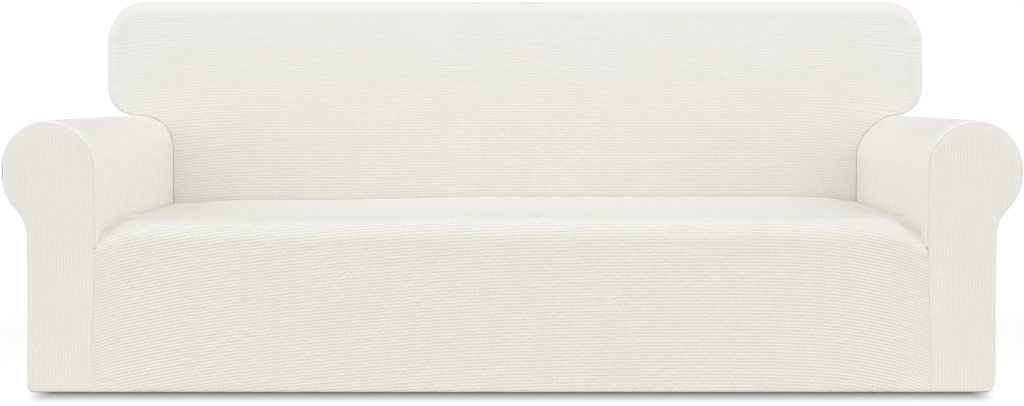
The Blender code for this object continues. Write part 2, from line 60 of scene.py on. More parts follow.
# Sizes that the frame gives, in metres.
TOP_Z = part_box("inside_back")[1].z
SEAT_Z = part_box("seat_skirt")[1].z
FRONT_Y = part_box("arm_right")[0].y
REAR_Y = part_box("outside_back")[1].y
INNER_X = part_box("arm_right")[0].x
ROLL_X = (INNER_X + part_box("arm_right")[1].x) / 2
ROLL_R = ROLL_X - INNER_X

# Sizes of the forms under the cloth.
BACK_Y, BACK_LEAN = 0.1325, 0.030   # face of the back at the seat, and how far it leans back
WALL_X, EAR_X = 1.081, 1.111        # outer arm wall and side of an ear, from the middle
ROLL_DROP, ROLL_Z = 0.009, 0.4965   # straight in the roll's outer side, and height of its centre
FILLET_R = 0.085                    # hollow between the roll and the outer wall
EAR_LOW_R, EAR_TOP_R = 0.092, 0.10  # lower and upper corner of an ear
EAR_START = 85.0                    # degrees round the roll at which the ear leaves the arm
GAP = 0.0003                        # between neighbouring panels
TUCK = 0.012                        # how far cloth is pushed into a crease
SEAM_TOP_Z = 0.328                  # where the skirt, an arm and the arm's front meet
SEAM_WANDER = 0.010                 # how far the skirt's seam runs outwards below that
HEM_R = 0.005                       # turn of a hem
SEAT_EDGE_R, ARM_EDGE_R = 0.045, 0.006      # front edges of the seat and the arms
FACE_EDGE_R, REAR_EDGE_R = 0.048, 0.030     # front and rear edges of the back
CREASE_R = 0.003                    # edge of the back where it dips in beside the arms
SHOULDER = {-1: 0.011, 1: -0.005}   # the left arm is squarer at the back, the right one rounder
TUCK_U = 0.987                      # share of the half width at which the seat dips to the arm
BEND_U = 0.72                       # share of it at which a rib of the back bends to the edge
# Fullness in the middle of the back's face, the rear panel, an arm's front and the skirt.
FACE_CROWN, REAR_CROWN, FRONT_CROWN, BILLOW = 0.010, 0.004, 0.004, 0.003

RIB_PROFILE = np.array([0.0, 0.8, 1.0, 0.8])   # groove, side, crest and side of one rib
TINY = 1e-6
SHARP_ANGLE = 60.0                  # degrees from which an edge isn't smoothed


# ---- what a user may change ----

def length_property(**about):
    return bpy.props.FloatProperty(unit="LENGTH", precision=4, **about)


def colour_property(**about):
    return bpy.props.FloatVectorProperty(subtype="COLOR", size=4, min=0.0, max=1.0, **about)


def light_property(**about):
    return bpy.props.FloatProperty(min=0.0, **about)


class SlipcoverSizes(bpy.types.PropertyGroup):
    cloth: length_property(name="Cloth", description="Thickness of the knit",
                           default=0.0020, min=0.001, max=0.003)
    rib_pitch: length_property(name="Rib pitch", default=0.0072, min=0.004,
                               description="Width of one rib on the seat, skirt and arms")
    back_rib_pitch: length_property(
        name="Back rib pitch", description="Width of one rib on the back, where the knit is stretched",
        default=0.0078, min=0.004)
    rib_height: length_property(name="Rib height", description="Height of a rib over its grooves",
                                default=0.0010, min=0.0)


class SlipcoverFinish(bpy.types.PropertyGroup):
    yarn: colour_property(name="Yarn", description="Colour of the knit on the ribs",
                          default=(0.905, 0.893, 0.860, 1.0))
    # Painted shade: the darker colour painted into the grooves between the ribs, and also used for random
    # dark specks.
    groove_shade_and_speck: colour_property(name="Groove", description="Colour of the knit between the ribs",
                            default=(0.740, 0.710, 0.630, 1.0))
    fleck: colour_property(name="Fleck", description="Colour of the light flecks in the yarn",
                           default=(0.950, 0.945, 0.930, 1.0))
    shade: colour_property(name="Shade", default=(0.880, 0.866, 0.815, 1.0),
                           description="Colour of the slightly deeper patches of the knit")
    # Painted shade: a warmer, slightly darker tint multiplied into the skirt, the arm fronts and the
    # arms' front edges.
    painted_shade_tint: colour_property(name="Warmth", default=(1.0, 0.992, 0.955, 1.0),
                          description="What the colour of a warmer panel is multiplied by")
    stitch: length_property(name="Stitch", description="Length of one stitch along a rib",
                            default=0.0036, min=0.001)
    roughness: bpy.props.FloatProperty(name="Roughness", description="Roughness of the yarn",
                                       default=0.92, min=0.0, max=1.0, subtype="FACTOR")


class SlipcoverStage(bpy.types.PropertyGroup):
    floor: colour_property(name="Floor", description="Colour of the floor",
                           default=(0.80, 0.80, 0.80, 1.0))
    # Painted shadow: the colour of the shadow painted on the floor right beside the hem.
    painted_shadow: colour_property(name="Contact", description="Colour of the floor right beside the hem",
                             default=(0.11, 0.11, 0.108, 1.0))
    glow: light_property(name="Floor glow", default=0.45,
                         description="Light that the floor adds for the camera, so that it stays white")
    sky: light_property(name="Light all round", description="Strength of the light from all round",
                        default=0.40)
    top: light_property(name="Top light", description="Strength of the soft light from above",
                        default=0.09)
    front: light_property(name="Front light", description="Strength of the soft light high in front",
                          default=0.40)
    side: light_property(name="Side lights", description="Strength of the soft light from each side",
                         default=1.34)


def sizes():
    return bpy.context.scene.slipcover_sizes


def finish():
    return bpy.context.scene.slipcover_finish


def studio():
    return bpy.context.scene.slipcover_stage


# ---- curves and easing ----

def ease(value, low, high):
    """From 0 at the low value smoothly to 1 at the high one."""
    t = np.clip((value - low) / (high - low), 0.0, 1.0)
    return t * t * (3.0 - 2.0 * t)


class Curve:
    """A flat chain of straights and arcs, in X outwards from the middle and Z up.

    Each piece is a length and a turn in degrees, left turns positive.
    """

    STEP = 0.001

    def __init__(self, start, heading, pieces):
        x, z = start
        angle = radians(heading)
        rows = [(0.0, x, z, angle)]
        for length, turn in pieces:
            steps = max(1, round(length / self.STEP))
            bend = radians(turn) / steps
            for _ in range(steps):
                x += cos(angle + bend / 2) * length / steps
                z += sin(angle + bend / 2) * length / steps
                angle += bend
                rows.append((rows[-1][0] + length / steps, x, z, angle))
        self.s, self.x, self.z, self.angle = np.array(rows).T
        self.length = self.s[-1]

    def at(self, s):
        """Point and direction of travel at a distance along the curve."""
        return tuple(np.interp(s, self.s, row) for row in (self.x, self.z, self.angle))

    def at_height(self, z):
        """Point and direction of travel at a height, on a curve that only rises."""
        return self.at(np.interp(z, self.z, self.s))


def arc(radius, turn):
    return radius * radians(abs(turn)), turn


HOLLOW_TURN = degrees(acos(1 - (ROLL_X + ROLL_R - WALL_X) / (ROLL_R + FILLET_R)))
HOLLOW_Z = ROLL_Z - ROLL_DROP - (ROLL_R + FILLET_R) * sin(radians(HOLLOW_TURN))
ARM_SECTION = Curve((INNER_X, ROLL_Z), 90.0, [
    arc(ROLL_R, -180.0), (ROLL_DROP, 0.0), arc(ROLL_R, -HOLLOW_TURN), arc(FILLET_R, HOLLOW_TURN),
    (HOLLOW_Z, 0.0)])

EAR_TILT = radians(90.0 - EAR_START)
EAR_LEAVES_Z = ROLL_Z + ROLL_R * cos(EAR_TILT)
EAR_REACH = (EAR_X - INNER_X - (ROLL_R + EAR_LOW_R) * (1 - sin(EAR_TILT))) / cos(EAR_TILT)
EAR_TURNS_Z = EAR_LEAVES_Z + EAR_REACH * sin(EAR_TILT)
EAR_SIDE_Z = EAR_TURNS_Z + EAR_LOW_R * cos(EAR_TILT)
CORNER_Z = TOP_Z - EAR_TOP_R * (1 - sqrt(0.5))


def outer_outline(inset):
    """The outer wall and the roll going up, as the rear panel and the arm fronts follow them."""
    return Curve((WALL_X - inset, 0.0), 90.0, [
        (HOLLOW_Z, 0.0), arc(FILLET_R + inset, -HOLLOW_TURN), arc(ROLL_R - inset, HOLLOW_TURN),
        (ROLL_DROP, 0.0), arc(ROLL_R - inset, 90.0)])


def ear_outline(inset):
    """The crease beside the arm, the ear and the top corner, up to the corner's diagonal."""
    start_z = SEAT_Z - 0.06
    return Curve((INNER_X - inset, start_z), 90.0, [
        (ROLL_Z - start_z, 0.0), arc(ROLL_R + inset, -EAR_START), (EAR_REACH, 0.0),
        arc(EAR_LOW_R - inset, EAR_START), (TOP_Z - EAR_TOP_R - EAR_SIDE_Z, 0.0),
        arc(EAR_TOP_R - inset, 45.0)])


# ---- sheets of cloth ----

def crests(places, pitch):
    """Height of the ribs at places across them, from 0 in a groove to 1 on a crest."""
    return np.interp(np.mod(places / pitch, 1.0) * 4, range(5), [*RIB_PROFILE, RIB_PROFILE[0]])


def rib_rows(first, last, pitch):
    """Places across the ribs, four a rib, with both ends."""
    step = pitch / 4
    inner = np.arange(np.ceil(first / step + 0.5), np.floor(last / step - 0.5) + 1) * step
    return np.concatenate([[first], inner, [last]])


def spread(ends, limit, count):
    """Places from -1 to 1: even ones within a limit, and beyond it the ends on both sides."""
    return np.concatenate([-np.array(ends)[::-1], np.linspace(-limit, limit, count), ends])


def lifted(surface, a, b, height, out, step=0.0005):
    """The surface's points at (a, b), moved along its normals. out is -1 where a x b points inwards."""
    a, b = np.broadcast_arrays(np.asarray(a, float), np.asarray(b, float))
    along = surface(a + step, b) - surface(a - step, b)
    across = surface(a, b + step) - surface(a, b - step)
    normal = np.cross(along, across)
    normal /= np.linalg.norm(normal, axis=-1, keepdims=True)
    return surface(a, b) + out * np.asarray(height)[..., None] * normal


# How far each arm's roll is drawn in at the outer front, and how round the arm's front foot is.
DRAWN_IN = {-1: 0.0078, 1: 0.0052}
DRAWN_X, DRAWN_Y, DRAWN_Z = 0.93, (-0.30, 0.10), (0.0, 0.26)   # where that starts, and fades or grows
FOOT_R = {-1: 0.014, 1: 0.027}
FOOT_X, FOOT_Y = (1.04, WALL_X - 0.004), (FRONT_Y, FRONT_Y + 0.12)   # where it grows and fades
FOOT_HEIGHTS = np.array([0.008, 0.012, 0.017, 0.024])                # of extra rows round it


def drawn_in(points):
    """The knit pulls the arms in at their outer front, more the higher, and rounds their feet."""
    x, y, z = points.T
    side = np.where(x > 0, 1, -1)
    pull, foot = (np.where(x > 0, each[1], each[-1]) for each in (DRAWN_IN, FOOT_R))
    out = np.clip((abs(x) - DRAWN_X) / (ROLL_X + ROLL_R - DRAWN_X), 0.0, 1.0)
    inward = pull * out ** 2 * ease(z, *DRAWN_Z) * (1 - ease(y, *DRAWN_Y))
    lift = foot - np.clip(z, 0.0, foot)
    turned = foot - np.sqrt(foot ** 2 - lift ** 2)
    inward += turned * ease(abs(x), *FOOT_X) * (1 - ease(y, *FOOT_Y))
    return np.stack([x - side * inward, y, z], -1)


class Sheet:
    """Cloth as two layers of faces, outside and inside, closed along their edges.

    A line is an array of rising keys and the indices of its points. Strips join neighbouring lines.
    """

    def __init__(self):
        self.points, self.flat, self.relief, self.warmth = [], [], [], []
        self.faces, self.count = [], 0

    def line(self, keys, points, flat, relief=0.0, warmth=0.0):
        """Adds points, their place when flat, how deep the ribs are and how much painted warm shade the
        knit gets.
        """
        first = self.count
        self.count += len(points)
        self.points.append(points)
        self.flat.append(np.broadcast_to(np.stack(np.broadcast_arrays(*flat), -1), (len(points), 2)))
        self.relief.append(np.broadcast_to(relief, len(points)))
        self.warmth.append(np.broadcast_to(warmth, len(points)))
        return np.asarray(keys, float), np.arange(first, self.count)

    def strip(self, first, second):
        """Faces between two lines, quads where their keys agree."""
        (keys_a, a), (keys_b, b) = first, second
        shared = min(len(a), len(b))
        differ = np.abs(keys_a[:shared] - keys_b[:shared]) > TINY
        same = int(np.argmax(differ)) if differ.any() else shared
        if same > 1:
            quads = np.stack([a[:same - 1], a[1:same], b[1:same], b[:same - 1]], -1)
            self.faces.extend(map(tuple, quads.tolist()))
        i = j = max(same - 1, 0)
        while i < len(a) - 1 or j < len(b) - 1:
            next_i = keys_a[i + 1] if i < len(a) - 1 else inf
            next_j = keys_b[j + 1] if j < len(b) - 1 else inf
            step_i, step_j = next_i <= next_j + TINY, next_j <= next_i + TINY
            face = [int(a[i]), int(a[i + 1]) if step_i else None,
                    int(b[j + 1]) if step_j else None, int(b[j])]
            i, j = i + int(step_i), j + int(step_j)
            face = list(dict.fromkeys(corner for corner in face if corner is not None))
            if len(face) > 2:
                self.faces.append(tuple(face))

    def layer(self, lines):
        for first, second in zip(lines, lines[1:]):
            self.strip(first, second)

    def finish(self, name, node):
        """Makes the piece, which stands for its node."""
        mesh = bpy.data.meshes.new(name)
        mesh.from_pydata(drawn_in(np.concatenate(self.points)), [], self.faces)
        builder = bmesh.new()
        builder.from_mesh(mesh)
        bmesh.ops.recalc_face_normals(builder, faces=builder.faces)
        builder.to_mesh(mesh)
        builder.free()
        corners = np.empty(len(mesh.loops), int)
        mesh.loops.foreach_get("vertex_index", corners)
        layer = mesh.uv_layers.new(name="knit")
        layer.data.foreach_set("uv", np.concatenate(self.flat)[corners].astype(np.float32).ravel())
        for kind, values in (("relief", self.relief), ("warmth", self.warmth)):
            attribute = mesh.attributes.new(kind, "FLOAT", "POINT")
            attribute.data.foreach_set("value", np.concatenate(values).astype(np.float32))
        mesh.shade_smooth()
        mesh.set_sharp_from_angle(angle=radians(SHARP_ANGLE))
        piece = bpy.data.objects.new(name, mesh)
        bpy.context.scene.collection.objects.link(piece)
        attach(piece, "root")
        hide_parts(node)
        return piece


def two_layers(places_out, places_in, line_at):
    """A sheet of two layers of lines, closed round its four edges.

    line_at makes what Sheet.line takes, from a line's place and whether it is in the outer layer.
    """
    sheet = Sheet()
    layers = []
    for places, outer in ((places_out, True), (places_in, False)):
        lines = [sheet.line(*line_at(place, outer)) for place in places]
        sheet.layer(lines)
        layers.append((places, lines))
    for end in (0, -1):
        sheet.strip(*(lines[end] for _, lines in layers))
        sheet.strip(*((places, np.array([line[1][end] for line in lines])) for places, lines in layers))
    return sheet


def hem_inset(z):
    """How far a wall has turned under at a height just above the floor."""
    z = np.clip(z, 0.0, HEM_R)
    return HEM_R - np.sqrt(HEM_R ** 2 - (HEM_R - z) ** 2)


def hem_heights(steps):
    """Heights round the turn of a hem, floor first."""
    return HEM_R * (1 - np.cos(np.linspace(0.0, pi / 2, steps)))


# How deep the ribs are, less where the knit is stretched more, and so how strong the painted shade in
# their grooves. On the face of the back, by height.
SEAT_RELIEF, SKIRT_RELIEF, ARM_RELIEF, FRONT_RELIEF, REAR_RELIEF = 0.7, 0.64, 0.7, 0.34, 0.7
BACK_RELIEF = np.array([(0.45, 0.56), (0.59, 0.52), (0.75, 0.36), (0.86, 0.26), (0.91, 0.30)])


# ---- seat and skirt ----

# How much lower the seat is to the left, at its left and right ends, and at its front corners.
LEFT_FALL, LEFT_END_FALL, RIGHT_END_FALL, CORNER_FALL = 0.0085, 0.009, 0.012, 0.026


def seat_height(x, y):
    """The seat is nearly level, lower at its ends and drawn down at its front corners."""
    left = LEFT_FALL * ease(-x, 0.05, 0.55)
    left = left + LEFT_END_FALL * ease(-x, 0.72, 0.92) * ease(y, -0.34, -0.14)
    right = RIGHT_END_FALL * ease(x, 0.80, 0.92)
    corners = CORNER_FALL * ease(abs(x), 0.85, 0.92) * (1 - ease(y - FRONT_Y, 0.020, 0.135))
    return SEAT_Z - left - right - corners


def skirt_seam_x(z):
    """Side of the skirt: it follows the arm tube's front edge round, then wanders outwards."""
    fall = SEAM_TOP_Z - z
    turn = pi / 2 * np.clip(fall / ARM_EDGE_R, 0.0, 1.0)
    return INNER_X - GAP + ARM_EDGE_R * (1 - np.cos(turn)) + SEAM_WANDER * ease(fall, 0.0, 0.3)


# Pairs of x and how far a rib of the skirt has sunk there.
RIB_SAG = np.array([
    (-0.921, 0.0833), (-0.908, 0.0817), (-0.890, 0.0848), (-0.868, 0.0900), (-0.859, 0.0906),
    (-0.850, 0.0895), (-0.816, 0.0814), (-0.772, 0.0724), (-0.706, 0.0608), (-0.618, 0.0480),
    (-0.509, 0.0357), (-0.377, 0.0259), (-0.202, 0.0163), (0.000, 0.0070), (0.193, 0.0022),
    (0.412, 0.0000), (0.544, 0.0007), (0.632, 0.0029), (0.697, 0.0068), (0.741, 0.0116),
    (0.785, 0.0191), (0.818, 0.0252), (0.851, 0.0293), (0.860, 0.0292), (0.877, 0.0247),
    (0.899, 0.0178), (0.917, 0.0170), (0.921, 0.0180),
])

SEAT_REAR_Y = BACK_Y - GAP - TUCK
SEAT_RUN = SEAT_REAR_Y - (FRONT_Y + SEAT_EDGE_R)
SEAT_BACK = -(SEAT_RUN + TUCK * pi / 2)
SKIRT_TOP = SEAT_EDGE_R * pi / 2


def skirt_length(u):
    """Length of cloth from the top of the seat's front edge to the end of the hem."""
    return SKIRT_TOP + seat_height(u * INNER_X, FRONT_Y) - SEAT_EDGE_R - HEM_R + HEM_R * pi / 2


def skirt_point(u, s):
    """Seat and skirt at a share u of the half width.

    s runs down the skirt, and below 0 back over the seat.
    """
    x = u * (INNER_X - GAP)
    back = np.clip(FRONT_Y + SEAT_EDGE_R - s - SEAT_REAR_Y, 0.0, None) / TUCK
    y = np.where(back > 0, SEAT_REAR_Y + TUCK * np.sin(back), FRONT_Y + SEAT_EDGE_R - s)
    dip = TUCK * (1 - np.cos(back))
    turn = np.clip(s, 0.0, SKIRT_TOP) / SEAT_EDGE_R
    y = np.where(s > 0, FRONT_Y + SEAT_EDGE_R * (1 - np.sin(turn)), y)
    z = seat_height(x, y) - dip - SEAT_EDGE_R * (1 - np.cos(turn)) - np.clip(s - SKIRT_TOP, 0.0, None)
    under = np.clip((HEM_R - z) / HEM_R, 0.0, pi / 2)
    y = y + HEM_R * (1 - np.cos(under))
    z = np.where(under > 0, HEM_R * (1 - np.sin(under)), z)
    seated = ease(y - FRONT_Y, 0.100, 0.220) * (s < SKIRT_TOP)
    z = z - TUCK * seated * np.clip((abs(u) - TUCK_U) / (1 - TUCK_U), 0.0, None) ** 2
    front = 1 - ease(y - FRONT_Y, 0.030, 0.060)
    billow = BILLOW * (1 - u ** 4) * np.sin(pi * np.clip(z / SEAT_Z, 0.0, 1.0)) * front
    return np.stack([np.where(s > 0, u * skirt_seam_x(z), x), y - billow, z], -1)


def seat_skirt():
    """Ribs run along the sofa over the seat and down the skirt, sinking to the left."""
    cloth, pitch, rib = sizes().cloth, sizes().rib_pitch, sizes().rib_height
    ends = np.concatenate([np.arange(0.920, 0.982, 0.0085), [TUCK_U, 0.9935, 1.0]])
    columns = spread(ends, 0.905, 56)
    columns_in = np.concatenate([-ends[::-2], np.linspace(-0.89, 0.89, 29), ends[::2], [1.0]])
    columns_in = np.unique(np.append(columns_in, -1.0))
    fine = rib_rows(SEAT_BACK, 0.6, pitch)
    coarse = np.concatenate([np.linspace(SEAT_BACK, -SEAT_RUN, 5), np.linspace(-0.48, -0.06, 9),
                             np.linspace(-0.04, SKIRT_TOP, 12), np.linspace(0.09, 0.6, 52)])

    def line_at(u, outer):
        """Rows of the flat cloth come to lie further down the more the ribs sag."""
        rows = fine if outer else coarse
        sag = np.interp(u * INNER_X, *RIB_SAG.T)
        down = rows + sag * ease(rows, -0.35, 0.0)
        length = skirt_length(u)
        kept = down < length - 0.3 * pitch
        s, across = np.append(down[kept], length), np.append(rows[kept], length - sag)
        relief = SEAT_RELIEF + (SKIRT_RELIEF - SEAT_RELIEF) * ease(s, 0.0, 0.03)
        fade = ease(s, SEAT_BACK + 0.01, SEAT_BACK + 0.03) * ease(length - s, 0.004, 0.012)
        height = rib * crests(across, pitch) * relief * fade if outer else np.full(len(s), -cloth)
        # The skirt gets painted warm shade, the seat's top none.
        return (across, lifted(skirt_point, u, s, height, -1), (u * INNER_X, across), relief,
                0.6 * ease(s, 0.03, 0.07))

    return two_layers(columns, columns_in, line_at)


# ---- arms ----

def swell(side, x, z, y):
    """The roll's inner shoulder grows squarer or rounder towards the back. Returns the shift."""
    angle = np.arctan2(z - ROLL_Z, ROLL_X - x)
    on_shoulder = (angle > 0.0) & (angle < pi / 2)
    most = np.where(np.asarray(side) > 0, SHOULDER[1], SHOULDER[-1])
    amount = most * np.sin(2 * angle) ** 2 * ease(y - FRONT_Y, 0.1, 0.5) * on_shoulder
    return -amount * np.cos(angle), amount * np.sin(angle)


def back_face_y(x, z):
    """Face of the back: it leans, and is a little fuller in the middle."""
    rise = np.clip((z - SEAT_Z) / (TOP_Z - SEAT_Z), 0.0, 1.0)
    crown = FACE_CROWN * np.sin(pi * rise) * (1 - np.clip(abs(x) / EAR_X, 0.0, 1.0) ** 4)
    return BACK_Y + BACK_LEAN * rise - crown


ARM_START_Y = FRONT_Y + ARM_EDGE_R
REAR_SEAM_Y = REAR_Y - REAR_EDGE_R - GAP
EDGE_RUN = ARM_EDGE_R * pi / 2


def arm_foot(side, y, turn):
    """Lower edge of an arm's inner wall: on the skirt's seam in front, tucked in beside the seat."""
    seam = SEAM_TOP_Z - ARM_EDGE_R * turn / (pi / 2) + GAP
    tucked = seat_height(side * INNER_X, y) - TUCK
    return seam + (tucked - seam) * ease(y - ARM_START_Y, 0.0, 0.04)


def arm_surface(side):
    """Arm tube by the way round its section, a, and the way back from its front edge, w.

    Below 0, a is the share of the way down the inner wall and w the way round the front edge.
    """
    def point(a, w):
        turn = np.clip(-w, 0.0, EDGE_RUN) / ARM_EDGE_R
        y = ARM_START_Y + np.where(w > 0, w, -ARM_EDGE_R * np.sin(turn))
        inset = ARM_EDGE_R * (1 - np.cos(turn))
        x, z, angle = ARM_SECTION.at(np.maximum(a, 0.0))
        z = z - np.clip(a - ARM_SECTION.length, 0.0, None)
        shift_x, shift_z = swell(side, x, z, y)
        x = np.where(a < 0, INNER_X, x + shift_x)
        z = np.where(a < 0, ROLL_Z + a * (ROLL_Z - arm_foot(side, y, turn)), z + shift_z)
        x, z = x + inset * np.sin(angle), z - inset * np.cos(angle)
        under = hem_inset(z)
        return np.stack([side * (x - under * np.cos(turn)), y + under * np.sin(turn), z], -1)
    return point


def arm(side):
    """Ribs run round the section and follow one another along the arm."""
    cloth, pitch, rib = sizes().cloth, sizes().rib_pitch, sizes().rib_height
    surface = arm_surface(side)
    over = ROLL_R * pi
    hollow = over + ROLL_DROP + ROLL_R * radians(HOLLOW_TURN)
    wall = ARM_SECTION.length - HOLLOW_Z
    ear = ROLL_R * radians(EAR_START)

    def places(wall_steps, roll_steps, hem_steps):
        """Places round the section: inner wall, roll, hollow, outer wall, foot and hem."""
        return np.concatenate([
            np.linspace(-1.0, 0.0, wall_steps)[:-1],
            np.linspace(0.0, ear - 0.006, roll_steps),
            np.linspace(ear, over, roll_steps),
            np.linspace(over + ROLL_DROP, hollow, roll_steps // 2),
            np.linspace(hollow, wall, roll_steps // 2)[1:],
            np.linspace(wall, wall + HOLLOW_Z - HEM_R, wall_steps)[1:-1],
            ARM_SECTION.length - FOOT_HEIGHTS[::-1],
            ARM_SECTION.length - hem_heights(hem_steps)[::-1]])

    def line_at(a, outer):
        x, _, z = surface(np.array(a), np.array(0.3))
        end = float(back_face_y(x, z)) + TUCK if a < ear - TINY else REAR_SEAM_Y
        end -= ARM_START_Y
        if outer:
            w = rib_rows(-EDGE_RUN, end, pitch)
            relief = ARM_RELIEF * np.maximum(ease(w, 0.0, 0.05), 1 - ease(a, 0.03, 0.13))
            height = rib * crests(w, pitch) * relief * ease(end - w, 0.0, 0.02)
            height = height * ease(w, -EDGE_RUN, 0.0) * ease(z, 0.004, 0.02)
        else:
            w = np.concatenate([np.linspace(-EDGE_RUN, 0.0, 6), np.linspace(0.03, end - 0.02, 12), [end]])
            relief, height = 0.0, np.full(len(w), -cloth)
        way = a * (ROLL_Z - SEAT_Z) if a < 0 else a
        # The tube's front edge gets painted warm shade, most on the inner wall.
        return (w, lifted(surface, a, w, height, side), (way, w), relief,
                (1 - ease(w, 0.0, 0.04)) * (1 - 0.8 * ease(a, 0.03, 0.13)))

    return two_layers(places(9, 17, 8), places(5, 9, 5), line_at)


def arm_front(side):
    """Keyhole-shaped panel with upright ribs, inside the arm tube's front edge."""
    cloth, pitch, rib = sizes().cloth, sizes().rib_pitch, sizes().rib_height
    inset = ARM_EDGE_R + GAP
    outline = outer_outline(inset)
    radius = ROLL_R - inset
    leg = WALL_X - inset
    seam_z = np.linspace(SEAM_TOP_Z - ARM_EDGE_R, 0.0, 60)
    seam_x = skirt_seam_x(seam_z) + GAP
    first, last = seam_x[0], ROLL_X + radius - 0.0008
    widest = int(np.argmax(outline.x))

    def low(x):
        if x < seam_x[-1]:
            return float(np.interp(x, seam_x, seam_z))
        return float(np.interp(x, outline.x[:widest], outline.z[:widest])) if x > leg else 0.0

    def high(x):
        return ROLL_Z + np.sqrt(np.clip(radius ** 2 - (x - ROLL_X) ** 2, 1e-8, None))

    def surface(x, z):
        across = 1 - abs(2 * (x - first) / (last - first) - 1) ** 3
        crown = FRONT_CROWN * across * np.sin(pi * np.clip(z / high(x), 0.0, 1.0))
        return np.stack([side * x, FRONT_Y + hem_inset(z) - crown, z], -1)

    corner = np.array([leg, leg + 0.0005])
    seam = seam_x[::4]
    fine = rib_rows(seam_x[-1], last, pitch)
    fine = fine[np.abs(fine - leg) > pitch / 8]
    ribs = np.unique(np.concatenate([seam, [seam_x[-1]], fine, corner]))
    plain = np.unique(np.concatenate([seam, [seam_x[-1]], fine[4:-3:8], corner, [last]]))

    def line_at(x, outer):
        heights = np.concatenate([hem_heights(7)[1:], FOOT_HEIGHTS,
                                  np.linspace(0.032, 0.58, 44 if outer else 16)])
        bottom, top = low(x), float(high(x))
        between = (heights > bottom + 0.003) & (heights < top - 0.004)
        z = np.concatenate([[bottom], heights[between], [top]])
        inner = ease(top - z, 0.0, 0.02) * ease(last - x, 0.0, 0.02)
        relief = FRONT_RELIEF * inner
        height = rib * crests(x, pitch) * relief * ease(z, 0.004, 0.02)
        if not outer:
            height = np.full(len(z), -cloth)
        # The arm's front gets painted warm shade, less towards its top and outer rim.
        return z, lifted(surface, x, z, height, side), (z, x), relief, 0.4 + 0.6 * inner

    return two_layers(ribs, plain, line_at)


# ---- back ----

class BackForm:
    """Face, rolled edge and walls of the inside or the outside of the back.

    A row is a height in the middle of the face. At each side it ends at a height of the outline,
    from which the cloth turns over the edge and runs to its seam.
    """

    def __init__(self, facing, bottom, edge_r, seam_y):
        self.facing, self.bottom, self.edge_r, self.seam_y = facing, bottom, edge_r, seam_y
        self.top = TOP_Z - edge_r
        self.ears = ear_outline(GAP if facing < 0 else 0.0)
        self.corner_x = EAR_X - EAR_TOP_R

    def face(self, u, row):
        side = np.where(u > 0, 1.0, -1.0)
        x, z, nx, nz, radius = self.edge(side, row)
        end_x, end_z = x - radius * nx, z - radius * nz
        x = abs(u) * end_x
        fade = 1 - ease(row, self.bottom, self.bottom + 0.25)
        crown = self.crown(side * x) * fade
        rest = row - end_z - self.crown(side * end_x) * fade
        bend = (np.clip(abs(u) - BEND_U, 0.0, None) / (1 - BEND_U)) ** 2
        corner_r = EAR_TOP_R - self.edge_r
        beyond = np.clip(x - self.corner_x, 0.0, corner_r * 0.99)
        round_bend = (corner_r - np.sqrt(corner_r ** 2 - beyond ** 2)) / (corner_r * (1 - sqrt(0.5)))
        near_top = ease(row, self.top - 0.07, self.top)
        z = row - crown - rest * (bend * (1 - near_top) + round_bend * near_top)
        return np.stack([side * x, self.face_y(side * x, z) - self.facing * hem_inset(z), z], -1)

    def over_edge(self, x, z, nx, nz, radius, y, turn, run, lift, seam_y):
        """From the face's edge over the rolled edge by a turn, then a share of the way to the seam."""
        y_edge = y - self.facing * radius * (1 - np.cos(turn))
        y_edge = y_edge + run * (seam_y - y_edge)
        reach = (radius + lift) * np.sin(turn)
        under = hem_inset(z)
        return np.stack([x + reach * nx - under * nx * np.sin(turn),
                         y_edge + self.facing * (lift - under) * np.cos(turn), z + reach * nz], -1)

    def top_point(self, u, turn, run, lift):
        x, y, z = self.face(np.asarray(u), self.top).T
        lean = np.clip((abs(x) - self.corner_x) / (EAR_TOP_R - self.edge_r), 0.0, sqrt(0.5))
        nx, nz = np.copysign(lean, u), np.sqrt(1 - lean ** 2)
        return self.over_edge(x, z, nx, nz, self.edge_r, y, turn, run, lift, self.seam_y)

    def side_point(self, side, row, turn, run, lift):
        *_, nx, nz, radius = self.edge(side, row)
        x, y, z = self.face(np.asarray(side), row).T
        y = y + self.facing * hem_inset(z)
        seam_y = np.where(self.walled(side, row), self.seam_y, y - self.facing * (radius + 0.004))
        return self.over_edge(x, z, side * nx, nz, radius, y, turn, run, lift, seam_y)


class InsideBack(BackForm):
    """From behind the seat up over the top, with both ears. SINK is how far ribs sink at SINK_Z."""

    SINK_Z, SINK = (0.60, 0.69, 0.78), (0.022, 0.040, 0.030)

    def __init__(self):
        super().__init__(-1, SEAT_Z - TUCK, FACE_EDGE_R, REAR_SEAM_Y)

    def relief(self, row):
        return np.interp(row, *BACK_RELIEF.T)

    def crown(self, x):
        return SEAT_Z - seat_height(x, BACK_Y)

    def outline_z(self, side, row):
        """Height of the outline at which a row ends: ribs sink towards the ears."""
        foot = self.crown(side * INNER_X)
        middle = np.interp(row, [*self.SINK_Z, self.top], [*self.SINK, self.top - CORNER_Z])
        share = np.clip((row - self.bottom) / (self.SINK_Z[0] - self.bottom), 0.0, 1.0)
        below = foot + (self.SINK[0] - foot) * share
        return row - np.where(row < self.SINK_Z[0], below, middle)

    def walled(self, side, row):
        return self.outline_z(side, row) > EAR_LEAVES_Z

    def edge(self, side, row):
        height = self.outline_z(side, row)
        x, z, angle = self.ears.at_height(height)
        shift_x, shift_z = swell(side, x, z, BACK_Y)
        beside_arm = ~self.walled(side, row)
        radius = CREASE_R + (self.edge_r - CREASE_R) * ease(height, 0.60, 0.70)
        return x + shift_x * beside_arm, z + shift_z * beside_arm, np.sin(angle), -np.cos(angle), radius

    face_y = staticmethod(back_face_y)


